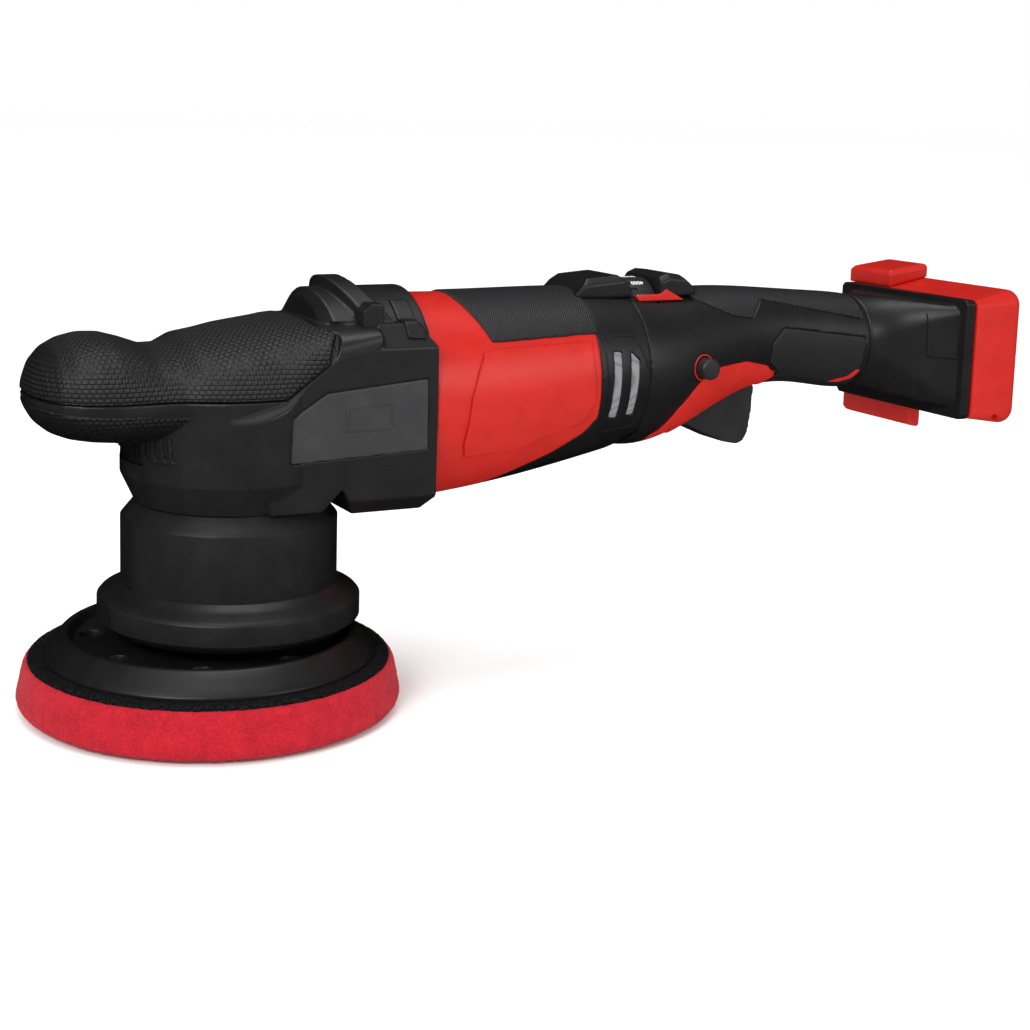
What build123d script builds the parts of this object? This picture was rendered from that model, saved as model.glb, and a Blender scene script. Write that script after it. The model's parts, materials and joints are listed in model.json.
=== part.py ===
from build123d import *
import math
import os

# Cordless random-orbital (dual action) polisher with a 125 mm backing plate.
# Millimetres. Z is the spindle axis, +X runs from the spindle to the battery
# foot, -Y is the tool's left side. Z = 0 is the working face of the foam pad.

# ---- pad and orbit
plate_d = 125.0            # hook-and-loop backing plate
orbit = 15.0               # orbit diameter
ecc = orbit / 2
foam_t = 18.0
foam_d = plate_d + 21.0    # widest, near the working face
loop_d = plate_d + 11.0    # loop layer and top of the foam
loop_t = 2.0
plate_rim_h = 9.0          # raised rim of the plate above the loop layer
plate_hub_z = 36.0         # top of the plate's hub
plate_holes = 8
plate_hole_r = 4.6

# ---- head
motor_z = 115.0            # motor axis above the working face
neck_d = 81.4
neck_wall = 3.6
ring_d = 99.0
head_w = 76.6              # across the flat sides of the head
head_front_d = 81.6        # rounded front, concentric with the spindle
head_bottom = 78.5
head_top = 146.0
joint_x = 68.0             # head to motor housing
case_wall = 5.6
rib_x = (29.0, 35.0)       # foremost points of the low ridge and of the strap behind it
rib_top = (157.0, 161.4)
ridge_axis_x, strap_axis_x = 76.0, 86.0    # centres that they bow around, seen from above
strap_w = 8.0
strap_low_z = 141.0

# ---- motor housing, vent band, handle, foot
band_x = 141.0             # red housing ends on the side
handle_x = 165.0
foot_x = 284.0
flange_x = 316.0
carrier_x = 321.0
rear_x = 347.0
motor_bore_r = 28.0
shell_wall = 2.6
skin = 1.6                 # thickness of the moulded-on grips

# sections along the body: x, centre height, half width, half height
body = [(joint_x, 113.8, 37.4, 40.3), (100.0, 115.2, 36.6, 38.6), (band_x, 118.9, 34.2, 35.2),
        (handle_x, 120.9, 31.8, 32.2)]
grip = [(handle_x, 120.9, 31.8, 32.2), (188.0, 122.3, 28.8, 30.2), (208.0, 127.2, 24.0, 26.0),
        (235.0, 131.0, 19.6, 21.0), (262.0, 129.6, 19.0, 20.4), (foot_x, 127.4, 19.6, 20.4)]

# ---- running parts
gear_teeth = 24
pinion_teeth = 8
gear_pitch_r = 27.0
pinion_pitch_r = gear_pitch_r * pinion_teeth / gear_teeth
tooth_add, tooth_ded = 2.1, 2.6
tooth_half = 1.15          # half thickness at the pitch circle: leaves backlash
spindle_r = 6.0
spindle_big_r = 7.5
shaft_r = 4.0
shaft_nose_r = 3.0
post_r = 6.0
big_bearing_r, top_bearing_r = 17.5, 13.0
nose_bearing_r, tail_bearing_r = 11.0, 9.5
pad_bolt_r = 4.0

# ---- fits
run = 0.05                 # radial clearance of a running fit
seat = 0.02                # radial clearance of a seated, fixed part
gap = 0.3                  # between mouldings that do not touch
swing = 0.6                # around a moving control


def ring_z(r_out, r_in, z0, z1, x=0.0, y=0.0):
    """Upright tube, or a disc when r_in is 0."""
    solid = Pos(x, y, (z0 + z1) / 2) * Cylinder(r_out, z1 - z0)
    if r_in:
        solid -= Pos(x, y, (z0 + z1) / 2) * Cylinder(r_in, z1 - z0 + 2)
    return solid


def ring_x(r_out, r_in, x0, x1, y=0.0, z=motor_z):
    """Tube along X."""
    place = Pos((x0 + x1) / 2, y, z) * Rot(0, 90, 0)
    solid = place * Cylinder(r_out, x1 - x0)
    if r_in:
        solid -= place * Cylinder(r_in, x1 - x0 + 2)
    return solid


def rod_y(r, y0, y1, x, z):
    return Pos(x, (y0 + y1) / 2, z) * Rot(90, 0, 0) * Cylinder(r, y1 - y0)


def block(x0, x1, y0, y1, z0, z1):
    return Pos((x0 + x1) / 2, (y0 + y1) / 2, (z0 + z1) / 2) * Box(x1 - x0, y1 - y0, z1 - z0)


def side_prism(points, y0, y1):
    """Solid with the given X-Z outline between two Y planes."""
    face = make_face(Polyline(*[(x, y0, z) for x, z in points], close=True))
    return extrude(face, amount=y1 - y0, dir=(0, 1, 0))


def turned(points, x=0.0):
    """Solid of revolution about a vertical axis, from an r-z outline."""
    face = make_face(Polyline(*[(r, 0, z) for r, z in points], close=True))
    return Pos(x, 0, 0) * revolve(face, Axis.Z)


def lofted(sections):
    """Smooth body through elliptic sections: x, centre height, half width, half height."""
    faces = [Plane(origin=(x, 0, zc), x_dir=(0, 1, 0), z_dir=(1, 0, 0)) * Ellipse(ry, rz)
             for x, zc, ry, rz in sections]
    return loft(faces)


def bevel_gear(teeth, pitch_r, mate_pitch_r, back, bore):
    """Straight bevel gear about Z, teeth facing +Z, cone apex at the origin."""
    length = math.hypot(pitch_r, mate_pitch_r)
    nr, nz = mate_pitch_r / length, pitch_r / length
    inner = 0.70
    tip = (pitch_r + nr * tooth_add, -mate_pitch_r + nz * tooth_add)
    root = (pitch_r - nr * tooth_ded, -mate_pitch_r - nz * tooth_ded)
    sunk = (pitch_r - nr * (tooth_ded + 0.4), -mate_pitch_r - nz * (tooth_ded + 0.4))
    blank = turned([(bore, root[1] - back), (root[0], root[1] - back), root,
                    (root[0] * inner, root[1] * inner), (bore, root[1] * inner)])
    tooth_faces = []
    for k in (1.0, inner):
        corners = [(sunk[0] * k, -1.45 * tooth_half * k, sunk[1] * k),
                   (tip[0] * k, -0.6 * tooth_half * k, tip[1] * k),
                   (tip[0] * k, 0.6 * tooth_half * k, tip[1] * k), (sunk[0] * k, 1.45 * tooth_half * k,
                                                                    sunk[1] * k)]
        tooth_faces.append(make_face(Polyline(*corners, close=True)))
    tooth = loft(tooth_faces, ruled=True)
    for i in range(teeth):
        blank += Rot(0, 0, 360 * i / teeth) * tooth
    return blank


def bearing(r_out, r_in, width):
    """Sealed ball bearing, axis Z, centred; the shields sit slightly below the rings."""
    solid = Cylinder(r_out, width) - Cylinder(r_in, width + 2)
    ring_w = (r_out - r_in) * 0.24
    for s in (1, -1):
        shield = Cylinder(r_out - ring_w, 0.5) - Cylinder(r_in + ring_w, 2)
        solid -= Pos(0, 0, s * width / 2) * shield
    return solid


def cap_screw(r, length, head_r, head_h):
    """Socket-head screw along -Z, under-head plane at the origin."""
    solid = Pos(0, 0, -length / 2) * Cylinder(r, length) + Pos(0, 0, head_h / 2) * Cylinder(head_r, head_h)
    return solid - Pos(0, 0, head_h) * extrude(RegularPolygon(head_r * 0.55, 6), amount=head_h * 0.55,
                                               both=True)


nodes = {}

# ============================================================ pad, on the eccentric axis
foam_r, top_r = foam_d / 2, loop_d / 2
nodes["foam_pad"] = turned([(0, 0), (foam_r - 3.6, 0), (foam_r - 1.2, 1.0), (foam_r, 3.2),
                            (foam_r - 0.3, 6.0),
                            (top_r + 1.2, foam_t - 4), (top_r, foam_t), (0, foam_t)], -ecc)
loop_top = foam_t + loop_t
nodes["loop_layer"] = ring_z(top_r - 0.3, 0, foam_t, loop_top, -ecc)

plate_r = plate_d / 2
hub_r = 16.0
rim_z = loop_top + plate_rim_h
floor_top = loop_top + 5.6
plate = turned([(9.0, loop_top), (plate_r, loop_top), (plate_r, loop_top + 1.4),
                (plate_r - 6.8, rim_z - 0.6),
                (plate_r - 7.6, rim_z), (plate_r - 9.6, rim_z), (plate_r - 11.6, floor_top),
                (hub_r + 6, floor_top), (hub_r, plate_hub_z - 3), (hub_r, plate_hub_z), (pad_bolt_r + 0.6,
                                                                                         plate_hub_z),
                (pad_bolt_r + 0.6, plate_hub_z - 8), (9.0, plate_hub_z - 8)], -ecc)
hole_ring_r = plate_r - 11.6 - plate_hole_r - 2.0
for i in range(plate_holes):
    a = math.radians(360 / plate_holes * (i + 0.5))
    plate -= ring_z(plate_hole_r, 0, loop_top - 1, plate_hub_z, -ecc + hole_ring_r * math.cos(a),
                    hole_ring_r * math.sin(a))
nodes["backing_plate"] = plate

post_top = 68.0
post = ring_z(13.0, 0, plate_hub_z, plate_hub_z + 3, -ecc) + ring_z(post_r, 0, plate_hub_z + 3, post_top,
                                                                    -ecc)
post -= ring_z(pad_bolt_r + seat, 0, plate_hub_z - 1, 56, -ecc)
nodes["pad_spindle"] = post
pad_bolt = Pos(-ecc, 0, plate_hub_z - 9.5) * Rot(180, 0, 0) * cap_screw(pad_bolt_r, 27.0, 6.5, 5.0)
nodes["pad_bolt"] = pad_bolt + ring_z(8.6, 0, plate_hub_z - 9.5, plate_hub_z - 8, -ecc)

# ============================================================ eccentric drive, on the spindle axis
hub_z0, hub_z1 = 42.0, 76.0
drive_r = 26.0
pocket_r = 14.0
hub = ring_z(drive_r, 0, hub_z0, hub_z1) - ring_z(pocket_r, 0, hub_z0 - 1, post_top + 1, -ecc)
hub -= ring_z(spindle_big_r + seat, 0, post_top + 2.5, hub_z1 + 1)
nodes["pad_bearings"] = Compound(children=[
    Pos(-ecc, 0, z) * bearing(pocket_r - seat, post_r + run, 9.0) for z in (47.5, 61.5)])
weight_r = neck_d / 2 - neck_wall - 2.0
weight = ring_z(weight_r, drive_r + seat, 44.0, 62.0)
weight &= side_prism([(6, 40), (40, 40), (40, 66), (6, 66)], -40, 40)
weight_bolt_z = 53.0
weight_hole_r = 2.5
screw_sets = []
for y in (-9.0, 9.0):
    weight -= Pos(30, y, weight_bolt_z) * Rot(0, 90, 0) * Cylinder(weight_hole_r + seat, 30)
    weight -= Pos(weight_r - 1.0, y, weight_bolt_z) * Rot(0, 90, 0) * Cylinder(4.6, 9.0)
    screw_sets.append(Pos(weight_r - 5.5, y, weight_bolt_z) * Rot(0, 90, 0) * cap_screw(weight_hole_r,
                                                                                        10.0, 4.2, 3.0))
    hub -= Pos(22, y, weight_bolt_z) * Rot(0, 90, 0) * Cylinder(weight_hole_r + seat, 13.0)
nodes["eccentric_hub"] = hub
nodes["counterweight"] = weight
nodes["counterweight_screws"] = Compound(children=screw_sets)

lower_bearing_z = (82.0, 91.0)
gear_back = 8.5
upper_bearing_z = (129.0, 137.0)
spindle = ring_z(spindle_big_r, 0, post_top + 2.5, lower_bearing_z[1])
spindle += ring_z(spindle_r, 0, lower_bearing_z[1], upper_bearing_z[1])
ring_gear = bevel_gear(gear_teeth, gear_pitch_r, pinion_pitch_r, gear_back, spindle_r + seat)
nodes["ring_gear"] = Pos(0, 0, motor_z) * ring_gear
gear_base = motor_z - pinion_pitch_r - tooth_ded * gear_pitch_r / math.hypot(gear_pitch_r,
                                                                             pinion_pitch_r) - gear_back
spindle += ring_z(9.5, 0, hub_z1 + 0.5, lower_bearing_z[0]) + ring_z(9.0, 0, lower_bearing_z[1], gear_base)
nodes["spindle"] = spindle
nodes["spindle_nut"] = ring_z(9.5, spindle_r + seat, 112.0, 117.0) - Pos(0, 9.5, 114.5) * Box(4, 4, 6)
nodes["spindle_bearings"] = Compound(children=[
    Pos(0, 0, sum(z) / 2) * bearing(r_out, r_in + run, z[1] - z[0])
    for z, r_out, r_in in ((lower_bearing_z, big_bearing_r, spindle_big_r),
                           (upper_bearing_z, top_bearing_r, spindle_r))])

# ============================================================ motor, along X
pinion = Rot(0, -90, 0) * bevel_gear(pinion_teeth, pinion_pitch_r, gear_pitch_r, 3.0, shaft_nose_r + seat)
nodes["pinion"] = Pos(0, 0, motor_z) * Rot(180 / pinion_teeth, 0, 0) * pinion
nose_end_x = gear_pitch_r + 4.2
shaft = ring_x(shaft_nose_r, 0, 17.5, nose_end_x) + ring_x(shaft_r, 0, nose_end_x, 138.0)
nodes["motor_shaft"] = shaft
nodes["motor_bearings"] = Compound(children=[
    Pos(x, 0, motor_z) * Rot(0, 90, 0) * bearing(r_out, shaft_r + run, width)
    for x, r_out, width in ((39.0, nose_bearing_r, 8.0), (133.0, tail_bearing_r, 6.0))])
rotor_x = (76.0, 116.0)
stator_r_in = 14.2
rotor = ring_x(stator_r_in - 0.7, shaft_r + seat, *rotor_x)
for i in range(4):
    rotor -= Pos(96, 0, motor_z) * Rot(90 * i + 45, 0, 0) * Pos(0, 0, stator_r_in - 0.7) * Box(50, 1.2, 1.6)
nodes["rotor"] = rotor
fan_r = motor_bore_r - 3.0
fan_hub_r = 7.5
fan = ring_x(fan_hub_r, shaft_r + seat, 52.0, 63.0) + ring_x(fan_r, 5.0, 61.0, 63.0)
blade_len = fan_r - fan_hub_r + 0.5
blade = Pos(57.2, 0, motor_z + fan_r - 0.5 - blade_len / 2) * Rot(0, 0, 22) * Box(8.0, 1.4, blade_len)
for i in range(11):
    turn = Pos(0, 0, motor_z) * Rot(360 * i / 11, 0, 0) * Pos(0, 0, -motor_z)
    fan += turn * blade
nodes["fan"] = fan
stator = ring_x(motor_bore_r - seat, stator_r_in, rotor_x[0] + 2, rotor_x[1] - 2)
yoke_r = motor_bore_r - 4.2     # inside of the stator's closed outer ring
slot_in = stator_r_in - 0.8
for i in range(6):
    slot = Pos(96, 0, motor_z) * Rot(60 * i + 30, 0, 0) * Pos(0, 0, (slot_in + yoke_r) / 2)
    stator -= slot * Box(50, 5.4, yoke_r - slot_in)
nodes["stator"] = stator
coils = []
for i in range(6):
    coil = Pos(96, 0, motor_z) * Rot(60 * i, 0, 0) * Pos(0, 0, (slot_in + yoke_r) / 2) * (
        Box(45, 14.0, yoke_r - slot_in - 3.4) - Box(36.1, 20, 20))
    coils.append(coil & ring_x(yoke_r + 0.2, stator_r_in + 0.8, 60, 130))
nodes["windings"] = Compound(children=[s for c in coils for s in c.solids()])
end_hub_r = tail_bearing_r + 3.0
end_plate = ring_x(motor_bore_r - seat, tail_bearing_r, 122.0, 137.0)
end_plate -= ring_x(motor_bore_r - 3.5, end_hub_r, 121.0, 132.0)
vent_ring_r = (motor_bore_r - 3.5 + end_hub_r) / 2
for i in range(6):
    a = math.radians(60 * i + 30)
    hole = Pos(134, vent_ring_r * math.cos(a), motor_z + vent_ring_r * math.sin(a)) * Rot(0, 90, 0)
    end_plate -= hole * Cylinder((motor_bore_r - 3.5 - end_hub_r) * 0.28, 12)
end_plate += ring_x(tail_bearing_r, 5.2, 136.0, 138.5)
nodes["motor_end_plate"] = end_plate
nodes["sensor_board"] = ring_x(motor_bore_r - 4.0, shaft_r + 2.0, 119.4, 121.0)

# ============================================================ neck and skirt
neck_r = neck_d / 2
neck_in = neck_r - neck_wall
flat_depth = 0.95              # small flat on the front of the neck and of the ring
neck = turned([(neck_in, 44.0), (neck_r, 44.0), (neck_r, 72.4), (neck_r - 5.0, head_bottom),
               (neck_in - 4, head_bottom), (neck_in, 74.0)])
nodes["neck_shroud"] = neck - block(-neck_r - 9, flat_depth - neck_r, -20, 20, 47.8, 90)
ring_r = ring_d / 2
skirt = turned([(neck_in + 1.4, 31.6), (ring_r - 4.5, 31.0), (ring_r, 34.6), (ring_r, 42.0),
                (ring_r - 1.0, 43.2),
                (neck_r + 1.6, 46.0), (neck_r + seat, 47.8), (neck_r + seat, 44.0), (neck_in + 1.4, 44.0)])
nodes["skirt_ring"] = skirt - block(-ring_r - 9, flat_depth - ring_r, -20, 20, 20, 90)

# ============================================================ head casing
front_r = head_front_d / 2
half_w = head_w / 2
plan = Circle(front_r) + Pos(joint_x / 2, 0) * Rectangle(joint_x, head_w)
case = Pos(0, 0, head_bottom + 11) * extrude(plan, amount=head_top - head_bottom - 11)
case = chamfer(case.faces().sort_by(Axis.Z)[-1].edges(), 8.5, 6.5)
lower = loft([Pos(0, 0, head_bottom) * Circle(front_r - 5.2),
              Pos(0, 0, head_bottom + 11) * Circle(front_r)])
floor_z = 75.8
rear_block = side_prism([(2, head_bottom + 0.2), (22, head_bottom + 0.2), (30, 86.5), (36, floor_z),
                         (64, floor_z),
                         (joint_x, 81), (joint_x, 100), (2, 100)], -half_w, half_w)
rear_block = chamfer(rear_block.edges().filter_by(Axis.X).group_by(Axis.Z)[0], 6.0)
case = case + lower + rear_block
case -= side_prism([(-60, 132.5), (3.8, head_top), (3.8, 170), (-60, 170)], -60, 60)
# the shoulders fall away towards the nose: two planes a side, meeting along one line
for s in (-1, 1):
    knee, crown = Vector(8.0, s * half_w, 119.5), Vector(8.0, s * 16.0, head_top)
    for other, x0, x1 in ((Vector(27.0, s * half_w, 134.2), 8.0, 60.0),
                          (Vector(-26.0, s * 31.5, 118.5), -60.0, 8.0)):
        up = (crown - knee).cross(other - knee).normalized()
        up = up if up.Z > 0 else -up
        above = Plane(origin=knee, x_dir=crown - knee, z_dir=up) * Pos(0, 0, 40) * Box(240, 240, 80)
        case -= above & block(x0, x1, -60, 60, 60, 200)
bare_case = case
# both bow forward: a ridge with a sloping front, then a narrow strap standing above it
upper_half = block(0, joint_x, -60, 60, motor_z, 190)
for top, half, centre_x, foot_r, crest_r, inner_r in (
        (rib_top[0], half_w, ridge_axis_x, ridge_axis_x - rib_x[0] + 5.0, ridge_axis_x - rib_x[0], 0),
        (rib_top[1], half_w + 0.8, strap_axis_x, strap_axis_x - rib_x[1], strap_axis_x - rib_x[1],
         strap_axis_x - rib_x[1] - strap_w)):
    arch = lofted([(10, motor_z, half, top - motor_z),
                   (joint_x, motor_z, half, top - motor_z)]) & upper_half
    case += arch & (turned([(inner_r, strap_low_z), (foot_r, strap_low_z), (foot_r, head_top),
                            (crest_r, top - 1),
                            (crest_r, 180), (inner_r, 180)], centre_x))
case -= turned([(0, floor_z - 5), (neck_r + gap, floor_z - 5), (neck_r + gap, 72.6),
                (neck_r - 5 + gap, head_bottom),
                (0, head_bottom)])
# working space for the gears, seats for the bearings, bores to the motor
cavity_r = front_r - case_wall
gear_room_top = 127.6
case -= ring_z(cavity_r, 0, head_bottom - 4, 94.0) + ring_z(gear_pitch_r + 2.2, 0, 93.0, gear_room_top)
case -= ring_z(top_bearing_r + seat, 0, gear_room_top - 1, upper_bearing_z[1] + 0.1)
case -= ring_x(nose_bearing_r + seat, 0, 20.0, 43.1)
case -= ring_x(30.0, 0, 48.0, joint_x + 5)
case -= ring_x(6.0, 0, 40.0, 50.0)
# air outlet under the nose, recesses for the side panels and the palm pad
case -= block(-48, -30, -14, 14, 95.5, 104.5) & ring_z(60, front_r - 2.4, 90, 110)
panel_outline = [(9.2, 97.3), (9.8, 113.6), (23.5, 122.3), (63.4, 125.9), (63.9, 99.4)]
for s in (-1, 1):
    y0, y1 = sorted((s * (half_w - skin), s * (half_w + 3)))
    case -= side_prism(panel_outline, y0, y1)
palm_zone = side_prism([(-34, 122.0), (8.4, 122.0), (26.0, 135.6), (26.0, 150), (-34, 150)], -36, 36)
palm_zone -= block(9, 60, -60, 60, 60, 124)
palm_pad = (bare_case & palm_zone) - Pos(0, 0, -skin) * bare_case
case -= palm_pad
nodes["gear_case"] = case
nodes["palm_pad"] = palm_pad
panels = []
for s in (-1, 1):
    y0, y1 = sorted((s * (half_w - skin), s * (half_w + 0.5)))
    panels.append(side_prism(panel_outline, y0, y1))
nodes["side_panels"] = Compound(children=panels)
grille = block(-44, -36, -13.6, 13.6, 95.9, 104.1) & ring_z(front_r - 0.6, front_r - 2.4, 90, 110)
for i in range(9):
    grille -= block(-50, -30, -12.1 + 2.7 * i, -10.6 + 2.7 * i, 96.8, 103.2)
nodes["nose_grille"] = grille

seat_plate = ring_z(cavity_r - seat, big_bearing_r + seat, 79.0, 91.5) - ring_z(cavity_r - 4, 22.0, 78,
                                                                                87.0)
nodes["bearing_plate"] = seat_plate + ring_z(big_bearing_r + 1, 11.0, 79.0, 80.6)

# ============================================================ nose grip in front of the head
nose_x, nose_z = -48.0, 122.6
nose_half = (28.6, 32.0, 19.4)
head_front = ring_z(front_r + 0.02, 0, 60, 160)


def nose_body(shrink):
    dims = [h - shrink for h in nose_half]
    bulb = Pos(nose_x, 0, nose_z) * scale(Sphere(1.0), by=tuple(dims))
    top, low = 136.6 - shrink, 106.2 + shrink
    neck = loft([Plane(origin=(x, 0, (top + low) / 2 + dz), x_dir=(0, 1, 0), z_dir=(1, 0, 0))
                 * Ellipse(w - shrink, (top - low) / 2 + dh)
                 for x, w, dh, dz in ((nose_x, nose_half[1] - 0.4, 3.6, 1.2), (-8.0, 36.0, 0.0, -0.6))])
    return (bulb + neck).clean()


outer, core = nose_body(0.0), nose_body(2.6)
band = block(-90, 0, -60, 60, 113.6, 117.8)
solid_nose = (core + (outer & band)) - head_front
nodes["nose_core"] = solid_nose
upper_zone = block(-90, 0, -60, 60, 117.8, 160)
lower_zone = block(-90, 0, -60, 60, 90, 113.6)
nodes["nose_grip_upper"] = ((outer & upper_zone) - core) - head_front
nodes["nose_grip_lower"] = ((outer & lower_zone) - core) - head_front

# ============================================================ motor housing, vent band and top grip
shell = lofted(body) - ring_x(motor_bore_r, 0, joint_x - 1, handle_x + 1)
shell -= lofted([(x, zc, ry - shell_wall, rz - shell_wall) for x, zc, ry, rz in body[2:]])
flat_under = side_prism([(96, 60), (99.5, 77.6), (band_x + 30, 90.5), (band_x + 30, 60)], -60, 60)
shell -= flat_under
red_zone = side_prism([(joint_x - 1, 60), (101.5, 60), (101.5, 80.4), (112, 86.0), (125, 92.6),
                       (136, 99.6), (band_x, 106),
                       (band_x, 170), (joint_x - 1, 170)], -60, 60)
grip_zone = side_prism([(84, 170), (87, 152.2), (91.5, 144.0), (94.6, 137.2), (band_x + 0.4, 139.0),
                        (band_x + 0.4, 170)], -60, 60)
inset = lofted([(x, zc, ry - skin, rz - skin) for x, zc, ry, rz in body])
grip_shape = (shell - inset) & grip_zone
nodes["motor_housing"] = (shell & red_zone) - grip_shape
vent_band = (shell - red_zone) - grip_shape
nodes["top_grip"] = grip_shape
mesh = []
vent_outline = [[(146.4, 105.5), (150.4, 105.0), (151.2, 131.4), (147.4, 131.6)],
                [(155.0, 106.0), (158.6, 105.6), (159.6, 127.6), (155.6, 131.6)]]
mesh_in = lofted([(x, zc, ry - shell_wall, rz - shell_wall) for x, zc, ry, rz in body])
mesh_out = lofted([(x, zc, ry - 0.8, rz - 0.8) for x, zc, ry, rz in body])
for outline in vent_outline:
    for y0, y1 in ((-60, -5), (5, 60)):
        window = side_prism(outline, y0, y1)
        vent_band -= window
        mesh.append((mesh_out - mesh_in) & window)
nodes["vent_band"] = vent_band
nodes["vent_mesh"] = Compound(children=[s for m in mesh for s in m.solids()])
stud_r, stud_y = 2.0, 21.5
studs = []
for y in (-stud_y, stud_y):
    for z in (88.5, 141.5):
        studs.append(Pos(joint_x + 3.0, y, z) * Rot(0, 90, 0) * Cylinder(stud_r, 20))
        hole = Pos(joint_x + 3.0, y, z) * Rot(0, 90, 0) * Cylinder(stud_r + seat, 20.5)
        nodes["motor_housing"] -= hole
        nodes["gear_case"] -= hole
nodes["housing_studs"] = Compound(children=studs)

# ============================================================ clamshell handle
handle = lofted(grip)
inside = lofted([(x, zc, ry - shell_wall, rz - shell_wall) for x, zc, ry, rz in grip])
handle_shell = handle - inside
bezel_outline = [(174, 80), (174, 94.6), (176.3, 96.8), (186.9, 106.6), (196.3, 113.4), (205.8, 118.2),
                 (218.1, 121.3),
                 (230.9, 120.4), (238.3, 117.2), (237.6, 113.6), (237.0, 104), (220, 80)]
bezel_zone = side_prism(bezel_outline, -60, 60)
bezel = handle_shell & bezel_zone
trigger_half = 9.0
slot_outline = [(193.4, 80), (191.5, 96.6), (199.0, 104.8), (206.0, 120), (231.6, 120), (231.6, 80)]
trigger_slot = side_prism(slot_outline, -trigger_half - swing, trigger_half + swing)
bezel -= trigger_slot
handle_shell -= bezel_zone
handle_shell -= trigger_slot
dial_slot = block(165.8 - swing, 178.4 + swing, -14.4, 14.4, 140, 170)
handle_shell -= dial_slot
lock_x, lock_z, lock_r = 192.6, 122.8, 4.3
lock_hole = rod_y(lock_r + 0.12, -40, 0, lock_x, lock_z)
handle_shell -= lock_hole
top_inlay = side_prism([(190.0, 170), (192, 151.0), (203, 146.2), (212, 142.4), (222, 141.0),
                        (230, 148.0), (281, 138.6),
                        (281, 170)], -60, 60)
side_inlay_pts = [(232.4, 130.0), (238.6, 136.4), (281, 131.0), (281, 100), (240.0, 100), (240.0, 117.0),
                  (232.4, 122.0)]
side_inlay = side_prism(side_inlay_pts, -60, 60)
handle_skin = handle - lofted([(x, zc, ry - skin, rz - skin) for x, zc, ry, rz in grip])
top_part = handle_skin & top_inlay & block(180, 290, -60, 60, 90, 180)
side_part = handle_skin & side_inlay
handle_shell -= top_part
handle_shell -= side_part
left_space = block(160, 290, -60, 0, 60, 180)
right_space = block(160, 290, 0, 60, 60, 180)
boss_spots = [(178.0, 99.2), (216.0, 141.2), (252.0, 120.5), (276.0, 135.5)]
boss_r, boss_bore = 3.4, 1.5
bosses = [rod_y(boss_r, -30, 30, x, z) & inside for x, z in boss_spots]
for b in bosses:
    handle_shell += b
for x, z in boss_spots:
    handle_shell -= rod_y(boss_bore + seat, -14.0, 40, x, z)
    handle_shell -= rod_y(3.0, 9.0, 40, x, z)
nodes["handle_left"] = handle_shell & left_space
nodes["handle_right"] = handle_shell & right_space
nodes["trigger_bezel"] = bezel
nodes["handle_top_grip"] = top_part
side_part -= rod_y(3.0, 9.0, 40, *boss_spots[2])
side_part -= rod_y(3.0, 9.0, 40, *boss_spots[3])
nodes["handle_side_grips"] = side_part
casing_screws = [Pos(x, 9.0, z) * Rot(-90, 0, 0) * cap_screw(boss_bore, 21.0, 2.7, 2.0) for x,
                 z in boss_spots]

# ============================================================ trigger, lock button, speed dial
pivot_x, pivot_z, pin_r = 199.0, 103.2, 1.5
trigger = side_prism([(194.2, 97.6), (203.0, 93.4), (210.9, 90.0), (217.0, 87.4), (223.9, 86.0),
                      (227.0, 87.2),
                      (229.2, 91.0), (230.6, 100.0), (231.2, 110.8), (226.0, 113.4), (214.0,
                                                                                      112.0), (205.0,
                                                                                               108.4),
                      (197.0, 105.6)], -trigger_half, trigger_half)
hollow_trigger = side_prism([(206.0, 101.0), (212.0, 96.0), (225.0, 92.6), (227.4, 108.0), (226.0, 116),
                             (206.0, 116)],
                            -trigger_half + 2.4, trigger_half - 2.4)
trigger -= hollow_trigger
trigger -= rod_y(pin_r + run, -20, 20, pivot_x, pivot_z)
trigger -= rod_y(4.4, -4.2, 4.2, pivot_x, pivot_z)
nodes["trigger"] = trigger
pin_len = 14.0
nodes["trigger_pin"] = rod_y(pin_r, -pin_len, pin_len, pivot_x, pivot_z)
for s in (-1, 1):
    y0, y1 = sorted((s * (trigger_half + swing), s * 16.0))
    ear = rod_y(4.2, y0, y1, pivot_x, pivot_z) & handle
    web = block(pivot_x - 3, pivot_x + 3, y0, y1, pivot_z, 112) & handle
    ear = (ear + web) - rod_y(pin_r + seat, -20, 20, pivot_x, pivot_z)
    ear -= bezel
    nodes["trigger_bezel"] += ear & handle
nodes["trigger_bezel"] -= rod_y(pin_r + seat, -pin_len - 0.1, pin_len + 0.1, pivot_x, pivot_z)
spring_path = Helix(pitch=1.5, height=6.0, radius=2.9)
coil_wire = Plane(origin=spring_path @ 0, z_dir=spring_path % 0) * Circle(0.5)
coil = sweep(coil_wire, path=spring_path, is_frenet=True)
nodes["trigger_spring"] = Pos(pivot_x, 3.0, pivot_z) * Rot(90, 0, 0) * coil

switch = block(208.0, 236.0, -8.0, 8.0, 122.4, 137.0)
switch += rod_y(2.6, -3.0, 3.0, 222.0, 121.4)
nodes["switch_module"] = switch

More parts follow.
